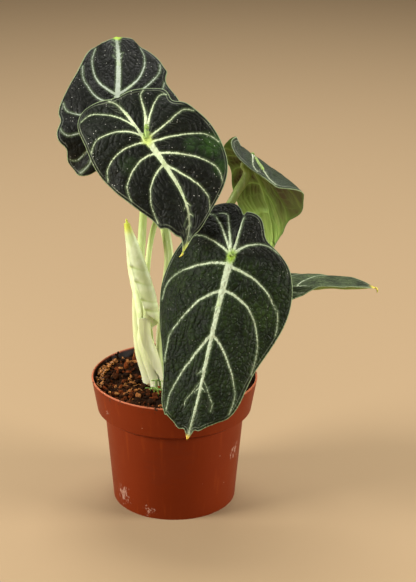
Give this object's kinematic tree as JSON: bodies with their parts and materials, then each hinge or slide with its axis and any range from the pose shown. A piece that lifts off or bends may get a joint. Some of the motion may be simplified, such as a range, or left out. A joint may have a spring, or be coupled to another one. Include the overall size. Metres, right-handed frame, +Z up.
{
  "type": "potted alocasia",
  "caption": "Young alocasia in a tapered nursery pot, with dark arrow-shaped leaves on tall pale stalks and a rolled young leaf.",
  "frame": {"origin": "centre of the pot's foot, on the surface the pot stands on", "axes": "+Z up along the pot's axis, -Y towards the front of the plant, +X towards the leaf that points sideways"},
  "size_m": [0.224, 0.1641, 0.3245],
  "materials": {
    "pot_plastic": "satin",
    "soil": "matte",
    "blade_dark": "satin",
    "blade_green": "satin",
    "blade_young": "satin",
    "stalk": "satin"
  },
  "bodies": {
    "root": {"pot": "pot_plastic", "soil": "soil", "blade_back": "blade_dark", "blade_middle": "blade_dark", "blade_front": "blade_green", "blade_far": "blade_green", "blade_side": "blade_green", "blade_hidden": "blade_green", "stalk_middle": "stalk", "stalk_back": "stalk", "stalk_hidden": "stalk", "stalk_front": "stalk", "stalk_far": "stalk", "stalk_side": "stalk", "stalk_young": "stalk", "blade_young": "blade_young"}
  },
  "joints": []
}
